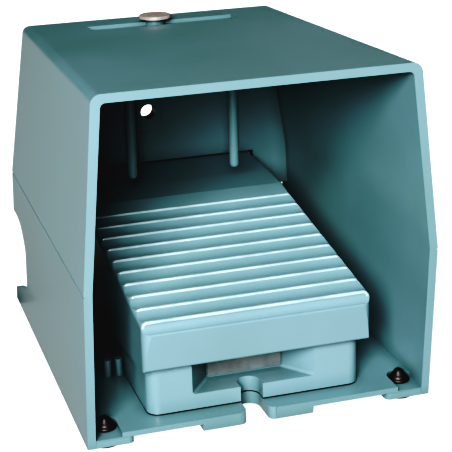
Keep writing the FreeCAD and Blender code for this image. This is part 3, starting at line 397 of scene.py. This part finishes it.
def bake(tree, pieceName, values, points=(), edges=()):
    # One plain mesh from a tree: inputs set by identifier, evaluated once, the modifier dropped
    start = bpy.data.meshes.new(pieceName + "Maker")
    start.from_pydata([[value * mm for value in point] for point in points], list(edges), [])
    holder = addObject(pieceName + "Maker", start)
    modifier = holder.modifiers.new("maker", "NODES")
    modifier.node_group = tree
    for item in tree.interface.items_tree:
        if item.in_out == "INPUT" and item.name in values:
            modifier[item.identifier] = values[item.name]
    bpy.context.view_layer.update()
    evaluated = holder.evaluated_get(bpy.context.evaluated_depsgraph_get())
    mesh = bpy.data.meshes.new_from_object(evaluated)
    mesh.name = pieceName
    bpy.data.objects.remove(holder)
    return addObject(pieceName, mesh)


def coilTree():
    # Compression spring: round wire, closed turns at both ends, even pitch between
    tree, entry = newTree("coilSpring", {
        "Radius": ("Float", 0.005), "Wire": ("Float", 0.0005), "Height": ("Float", 0.02),
        "Turns": ("Float", 6.0), "Dead turns": ("Float", 1.0), "Steps": ("Int", 200),
        "Sides": ("Int", 10), "Place": ("Vector", (0, 0, 0)), "Material": ("Material", None)})
    line = addNode(tree, "GeometryNodeCurvePrimitiveLine")
    path = addNode(tree, "GeometryNodeResampleCurve", inputs={
        "Curve": line.outputs["Curve"], "Count": entry["Steps"]})
    # each line names a value made of the ones known before it; a climb starts and ends along the
    # wire, and then gives its height
    known = {socket.name: socket for socket in entry if socket.name}
    known["along"] = addNode(tree, "GeometryNodeSplineParameter").outputs["Factor"]
    formulas = {
        "lap": ("MULTIPLY", "along", "Turns"),
        "angle": ("MULTIPLY", "lap", 2 * math.pi),
        "dead end": ("DIVIDE", "Dead turns", "Turns"),
        "live end": ("SUBTRACT", 1.0, "dead end"),
        "thickness": ("MULTIPLY", "Wire", 2.0),
        "closed rise": ("MULTIPLY", "thickness", "Dead turns"),
        "both closed": ("MULTIPLY", "closed rise", 2.0),
        "centre height": ("SUBTRACT", "Height", "thickness"),
        "open rise": ("SUBTRACT", "centre height", "both closed"),
        "first": ("climb", 0.0, "dead end", "closed rise"),
        "middle": ("climb", "dead end", "live end", "open rise"),
        "last": ("climb", "live end", 1.0, "closed rise"),
        "risen": ("ADD", "first", "middle"),
        "all risen": ("ADD", "risen", "last"),
        "z": ("ADD", "all risen", "Wire"),
        "cosine": ("COSINE", "angle"),
        "sine": ("SINE", "angle"),
        "x": ("MULTIPLY", "cosine", "Radius"),
        "y": ("MULTIPLY", "sine", "Radius"),
    }
    for name, (operation, *parts) in formulas.items():
        parts = [known.get(part, part) for part in parts]
        if operation == "climb":
            node = addNode(tree, "ShaderNodeMapRange", inputs={
                "Value": known["along"], "From Min": parts[0], "From Max": parts[1],
                "To Max": parts[2]})
        else:
            node = addNode(tree, "ShaderNodeMath", {"operation": operation}, dict(enumerate(parts)))
        known[name] = node.outputs[0]
    spot = addNode(tree, "ShaderNodeCombineXYZ", inputs={
        "X": known["x"], "Y": known["y"], "Z": known["z"]})
    moved = addNode(tree, "ShaderNodeVectorMath", {"operation": "ADD"}, {
        0: spot.outputs[0], 1: entry["Place"]})
    helix = addNode(tree, "GeometryNodeSetPosition", inputs={
        "Geometry": path.outputs["Curve"], "Position": moved.outputs[0]})
    section = addNode(tree, "GeometryNodeCurvePrimitiveCircle", inputs={
        "Resolution": entry["Sides"], "Radius": entry["Wire"]})
    wire = addNode(tree, "GeometryNodeCurveToMesh", inputs={
        "Fill Caps": True, "Curve": helix.outputs["Geometry"],
        "Profile Curve": section.outputs["Curve"]})
    return closeTree(tree, wire.outputs["Mesh"], entry["Material"])


# lengths in mm; keep is what is left of the height at full travel
coil = coilTree()
coils = {
    "returnSpringLeft": {
        "node": "return_spring_left", "at": (-31.0, -27.05, 33.5), "radius": 6.6, "wire": 0.85,
        "height": 24.6, "turns": 6.5, "joint": "pedal_hinge", "keep": 0.62},
    "returnSpringRight": {
        "node": "return_spring_right", "at": (31.0, -27.05, 33.5), "radius": 6.6, "wire": 0.85,
        "height": 24.6, "turns": 6.5, "joint": "pedal_hinge", "keep": 0.62},
    "plungerSpring": {
        "node": "plunger_spring", "at": (0, 15.45, 9.0), "radius": 3.2, "wire": 0.45,
        "height": 18.1, "turns": 7.5, "joint": "plunger_slide", "keep": 0.71},
}
stepsPerTurn = 40
for pieceName, spring in coils.items():
    foot = tuple(value * mm for value in spring["at"])
    piece = bake(coil, pieceName, {
        "Radius": spring["radius"] * mm, "Wire": spring["wire"] * mm,
        "Height": spring["height"] * mm, "Turns": spring["turns"],
        "Steps": int(spring["turns"] * stepsPerTurn), "Place": foot,
        "Material": finishes["spring_steel"]})
    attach(piece, "base")
    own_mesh(piece)
    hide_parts(spring["node"])
print("stage: springs")


def nosingTree():
    # Round nosings along the crests of the tread: one swept bead, repeated up the slope
    tree, entry = newTree("treadNosings", {
        "Radius": ("Float", 0.001), "Sides": ("Int", 14), "Count": ("Int", 10),
        "Step": ("Vector", (0, 0.011, 0.0017)), "Material": ("Material", None)})
    path = addNode(tree, "GeometryNodeMeshToCurve", inputs={"Mesh": entry["Start"]})
    section = addNode(tree, "GeometryNodeCurvePrimitiveCircle", inputs={
        "Resolution": entry["Sides"], "Radius": entry["Radius"]})
    bead = addNode(tree, "GeometryNodeCurveToMesh", inputs={
        "Fill Caps": True, "Curve": path.outputs["Curve"],
        "Profile Curve": section.outputs["Curve"]})
    rows = addNode(tree, "GeometryNodeMeshLine", inputs={
        "Count": entry["Count"], "Offset": entry["Step"]})
    laid = addNode(tree, "GeometryNodeInstanceOnPoints", inputs={
        "Points": rows.outputs["Mesh"], "Instance": bead.outputs["Mesh"]})
    return closeTree(tree, laid.outputs["Instances"], entry["Material"])


# each crest ends in a nosing that rolls over the side edges of the tread and sinks into them
nosing = {
    "y": -82.85, "z": 55.72, "stand": 0.38, "radius": 0.85, "pitch": (0, 11.1, 1.72),
    "half": 49.7, "edge": 3.0, "sink": 0.5, "roll": 75, "steps": 8}
sweep = []
for step in range(nosing["steps"] + 1):
    share = 1 - step / nosing["steps"]
    turn = math.radians(nosing["roll"] * share)
    arm = nosing["edge"] + nosing["stand"] - nosing["radius"] - nosing["sink"] * share
    sweep.append((-nosing["half"] - arm * math.sin(turn), nosing["y"],
                  nosing["z"] - nosing["edge"] + arm * math.cos(turn)))
sweep += [(-x, y, z) for x, y, z in reversed(sweep)]
# the nosings take the enamel that is painted lighter as a highlight
piece = bake(nosingTree(), "treadNosings", {
    "Radius": nosing["radius"] * mm, "Step": [value * mm for value in nosing["pitch"]],
    "Material": enamel("EnamelWithPaintedHighlightOnCrests", enamelPaintedLightOnCrests)},
    sweep, [(i, i + 1) for i in range(len(sweep) - 1)])
piece.data.polygons.foreach_set("use_smooth", [True] * len(piece.data.polygons))
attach(piece, "pedal")


# lengths in mm; the drive is a share of the head's width or thickness
turning = {"weld": 0.001, "headEdge": 0.15, "tip": 0.3, "domeRise": 0.25, "slotLong": 1.2,
           "slotWide": 0.16, "slotDeep": 0.9, "socketRadius": 0.26, "socketDeep": 1.1,
           "crease": 35}


def lathe(name, profile, steps=28):
    # Closed profile of (radius, height) in mm, turned about Z
    work = bmesh.new()
    ring = [work.verts.new((x * mm, 0, z * mm)) for x, z in profile]
    spine = [work.edges.new(pair) for pair in zip(ring, ring[1:])]
    bmesh.ops.spin(work, geom=ring + spine, axis=(0, 0, 1), cent=(0, 0, 0), steps=steps,
                   angle=2 * math.pi, use_merge=True)
    bmesh.ops.remove_doubles(work, verts=work.verts, dist=turning["weld"] * mm)
    bmesh.ops.recalc_face_normals(work, faces=work.faces)
    mesh = bpy.data.meshes.new(name)
    work.to_mesh(mesh)
    work.free()
    return addObject(name, mesh)


def latheScrew(name, screw):
    # Screw with its head up, the drive cut out of the head
    wide, head, dome = screw["head"], screw["thick"], screw["dome"]
    radius, shank, length = wide / 2, screw["shank"] / 2, screw["length"]
    rim, tip = turning["headEdge"], turning["tip"]
    body = lathe(name, [
        (0, 0), (radius - dome * 2, 0), (radius - dome, -dome * turning["domeRise"]),
        (radius, -dome), (radius, -head + rim), (radius - rim, -head), (shank, -head),
        (shank, -length + tip), (shank - tip, -length), (0, -length)])
    cut = bmesh.new()
    if screw["drive"] == "slot":
        bmesh.ops.create_cube(cut, size=1, matrix=Matrix.Diagonal((
            wide * turning["slotLong"] * mm, turning["slotWide"] * wide * mm,
            turning["slotDeep"] * head * mm, 1)))
    else:
        across = wide * turning["socketRadius"] * mm
        bmesh.ops.create_cone(cut, cap_ends=True, segments=6, radius1=across, radius2=across,
                              depth=turning["socketDeep"] * head * mm)
    cutMesh = bpy.data.meshes.new(name + "Drive")
    cut.to_mesh(cutMesh)
    cut.free()
    cutter = addObject(name + "Drive", cutMesh)
    modifier = body.modifiers.new("drive", "BOOLEAN")
    modifier.operation, modifier.object, modifier.solver = "DIFFERENCE", cutter, "EXACT"
    bpy.context.view_layer.update()
    evaluated = body.evaluated_get(bpy.context.evaluated_depsgraph_get())
    done = bpy.data.meshes.new_from_object(evaluated)
    body.modifiers.clear()
    body.data = done
    bpy.data.objects.remove(cutter)
    return body


def screwTree():
    # The same screw at every given point, each turned as the driver happened to leave it
    tree, entry = newTree("screwSet", {
        "Screw": ("Object", None), "Flip": ("Float", 0.0), "Seed": ("Int", 4),
        "Material": ("Material", None)})
    pattern = addNode(tree, "GeometryNodeObjectInfo", inputs={"Object": entry["Screw"]})
    turn = addNode(tree, "FunctionNodeRandomValue", {"data_type": "FLOAT"}, {
        "Seed": entry["Seed"], 3: 2 * math.pi})
    spin = addNode(tree, "ShaderNodeCombineXYZ", inputs={"X": entry["Flip"], "Z": turn.outputs[1]})
    rotation = addNode(tree, "FunctionNodeEulerToRotation", inputs={"Euler": spin.outputs[0]})
    points = addNode(tree, "GeometryNodeMeshToPoints", inputs={"Mesh": entry["Start"]})
    laid = addNode(tree, "GeometryNodeInstanceOnPoints", inputs={
        "Points": points.outputs["Points"], "Instance": pattern.outputs["Geometry"],
        "Rotation": rotation.outputs[0]})
    return closeTree(tree, laid.outputs["Instances"], entry["Material"])


# lengths in mm; at is the top of each head
screwNodes = screwTree()
screwSets = {
    "housingScrews": {
        "node": "housing_screws", "drive": "hex", "head": 7.0, "thick": 4.0, "dome": 0.3,
        "shank": 4.0, "length": 17.4, "flip": math.pi,
        "at": [(-42.1, -53.0, 4.2), (-42.1, 51.0, 4.2), (42.1, -53.0, 4.2), (42.1, 51.0, 4.2)]},
    "coverPlateScrews": {
        "node": "cover_plate_screws", "drive": "slot", "head": 5.6, "thick": 1.9, "dome": 0.5,
        "shank": 3.0, "length": 5.8, "flip": 0.0,
        "at": [(-10.1, -70.8, 34.0), (7.7, -70.8, 34.0)]},
    "terminalScrews": {
        "node": "terminal_screws", "drive": "slot", "head": 4.8, "thick": 1.6, "dome": 0.4,
        "shank": 3.0, "length": 2.0, "flip": 0.0,
        "at": [(-14.5, -4.5, 12.7), (-14.5, 35.5, 12.7), (14.5, -4.5, 12.7), (14.5, 35.5, 12.7)]},
    "blockScrews": {
        "node": "block_screws", "drive": "slot", "head": 4.8, "thick": 1.8, "dome": 0.4,
        "shank": 3.0, "length": 12.4, "flip": 0.0,
        "at": [(-21.4, 5.4, 21.4), (-7.6, 25.4, 21.4), (7.6, 5.4, 21.4), (21.4, 25.4, 21.4)]},
}
for pieceName, screw in screwSets.items():
    pattern = latheScrew(pieceName + "Pattern", screw)
    piece = bake(screwNodes, pieceName, {
        "Screw": pattern, "Flip": screw["flip"], "Material": finishes["zinc_steel"]}, screw["at"])
    bpy.data.objects.remove(pattern)
    smooth(piece.data, turning["crease"])
    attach(piece, "base")
    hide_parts(screw["node"])
print("stage: nosings and screws")

# barbs of the feet: a soft collar, a step and a blunt tip over the plain cone
barb = {
    "profile": [(0, 0), (4.7, 0), (5.0, 0.35), (5.0, 0.95), (4.7, 1.4), (4.1, 1.65), (3.95, 2.1),
                (3.8, 2.45), (3.4, 2.8), (2.85, 3.5), (2.3, 4.4), (1.9, 5.0), (1.45, 5.45),
                (0.8, 5.7), (0, 5.78)],
    "at": [(-69.8, -78.05, 6.8), (69.8, -78.05, 6.8), (-69.8, 85.95, 6.8), (69.8, 85.95, 6.8)],
    "steps": 32, "crease": 50}
pattern = lathe("footBarbPattern", barb["profile"], barb["steps"])
piece = bake(screwNodes, "footBarbs", {
    "Screw": pattern, "Material": finishes["rubber"]}, barb["at"])
bpy.data.objects.remove(pattern)
smooth(piece.data, barb["crease"])
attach(piece, "base")

# the rubber boot round the plunger; foot is its lower end
fold = {"foot": (0, 15.45, 45.0), "keep": 0.19, "edge": 0.12}
boot = dress("plunger_boot", "plungerBoot", "base", "rubber", fold["edge"])
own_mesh(boot)
print("stage: pieces")

# the room, in metres: a light table as floor, a dark room above it
studio = {"world": "DDE8EE", "worldStrength": 0.03, "fibre": 0.025}
# seen by the camera the floor is white
whiteFloor = {"height": 0.0, "size": 30.0, "glow": 0.78, "tints": ("CFCFCF", "D6D6D6")}
# what the enamel mirrors of it is dimmer, and missing in the hood's own shade behind it
mirrorFloor = {
    "height": -0.0005, "size": 6.0, "glow": 0.75, "tints": ("101010", "141414"),
    "shade": ((-0.09, 0.084), (0.097, 0.42))}


def floorPlane(name, floor):
    # lit paper, left out where a shade is given as its range along X and along Y
    half = floor["size"] / 2
    acrossShade, alongShade = floor.get("shade", ((), ()))
    columns = (-half, *acrossShade, half)
    rows = (-half, *alongShade, half)
    corners = [(x, y, floor["height"]) for y in rows for x in columns]
    faces = []
    for row in range(len(rows) - 1):
        for column in range(len(columns) - 1):
            first = row * len(columns) + column
            if not (acrossShade and row == column == 1):
                faces.append((first, first + 1, first + len(columns) + 1, first + len(columns)))
    mesh = bpy.data.meshes.new(name)
    mesh.from_pydata(corners, [], faces)
    plane = addObject(name, mesh)
    material, tree, place = newMaterial(name + "Paper")
    fibre = addNode(tree, "ShaderNodeTexNoise", inputs={
        "Vector": place, "Scale": 1 / studio["fibre"], "Detail": 2.0})
    tint = addNode(tree, "ShaderNodeValToRGB", {
        "stops": [(0.3, floor["tints"][0]), (0.7, floor["tints"][1])]},
        {"Fac": fibre.outputs["Fac"]})
    closeMaterial(tree, {
        "Base Color": tint.outputs["Color"], "Emission Color": (1, 1, 1, 1),
        "Emission Strength": floor["glow"], "Roughness": 0.9})
    mesh.materials.append(material)
    plane.visible_diffuse = False
    return plane


floorPlane("studioFloor", whiteFloor).visible_glossy = False
mirrored = floorPlane("mirroredFloor", mirrorFloor)
mirrored.visible_camera = False
mirrored.visible_shadow = False

world = bpy.data.worlds.new("studioWorld")
world.use_nodes = True
background = world.node_tree.nodes["Background"]
background.inputs["Color"].default_value = toLinear(studio["world"])
background.inputs["Strength"].default_value = studio["worldStrength"]
bpy.context.scene.world = world

# the tone of the photograph: deep shadows, and green and blue a little lower in the mid tones
toneCurves = {
    3: ((0.07, 0.009), (0.12, 0.03), (0.16, 0.08), (0.22, 0.16), (0.34, 0.335), (0.65, 0.67)),
    1: ((0.06, 0.056), (0.12, 0.105), (0.21, 0.187), (0.45, 0.44), (0.7, 0.7)),
    2: ((0.06, 0.054), (0.12, 0.099), (0.25, 0.21), (0.45, 0.43), (0.7, 0.7)),
}
tone = bpy.context.scene.view_settings
tone.view_transform = "Standard"
tone.use_curve_mapping = True
tone.curve_mapping.curves[3].points[0].location = (0.0, 0.004)
for channel, points in toneCurves.items():
    for point in points:
        tone.curve_mapping.curves[channel].points.new(*point)
tone.curve_mapping.update()

# azimuth from the open front towards the left, elevation, distance and size in metres
lamps = {
    "keySoftbox": {"azimuth": 25, "elevation": 25, "away": 1.3, "size": 0.55, "watts": 42,
                   "tint": "F9FBFF", "mirrored": True},
    "backFill": {"azimuth": 215, "elevation": 12, "away": 1.5, "size": 1.0, "watts": 36,
                 "tint": "FFFFFF", "mirrored": False},
}
aim = Vector((0, 0, 0.06))
for name, lamp in lamps.items():
    turn, rise = math.radians(lamp["azimuth"]), math.radians(lamp["elevation"])
    towards = Vector((-math.sin(turn) * math.cos(rise), -math.cos(turn) * math.cos(rise),
                      math.sin(rise)))
    light = bpy.data.lights.new(name, "AREA")
    light.size = lamp["size"]
    light.energy = lamp["watts"]
    light.color = toLinear(lamp["tint"])[:3]
    thing = addObject(name, light)
    thing.location = aim + towards * lamp["away"]
    thing.rotation_euler = (-towards).to_track_quat("-Z", "Y").to_euler()
    thing.visible_glossy = lamp["mirrored"]

# the photograph's camera: place in mm, turns in degrees, focal length and centre in pixels
view = {
    "at": (-175.7, -616.15, 289.5), "yaw": 15.79, "pitch": 19.48, "roll": -1.98,
    "focal": 1390, "centre": (199.6, 232.0), "image": 452, "sensor": 36, "clip": (0.05, 50)}
yaw, pitch, roll = (math.radians(view[key]) for key in ("yaw", "pitch", "roll"))
ahead = Vector((math.sin(yaw) * math.cos(pitch), math.cos(yaw) * math.cos(pitch),
                -math.sin(pitch)))
level = Vector((math.cos(yaw), -math.sin(yaw), 0))
above = level.cross(ahead)
rightWay = level * math.cos(roll) + above * math.sin(roll)
upWay = above * math.cos(roll) - level * math.sin(roll)
camera = addObject("photoCamera", bpy.data.cameras.new("photoCamera"))
camera.matrix_world = Matrix((
    (rightWay.x, upWay.x, -ahead.x, view["at"][0] * mm),
    (rightWay.y, upWay.y, -ahead.y, view["at"][1] * mm),
    (rightWay.z, upWay.z, -ahead.z, view["at"][2] * mm),
    (0, 0, 0, 1)))
camera.data.sensor_width = view["sensor"]
camera.data.lens = view["focal"] / view["image"] * view["sensor"]
camera.data.shift_x = (view["image"] / 2 - view["centre"][0]) / view["image"]
camera.data.shift_y = (view["centre"][1] - view["image"] / 2) / view["image"]
camera.data.clip_start, camera.data.clip_end = view["clip"]
bpy.context.scene.camera = camera
print("stage: studio")
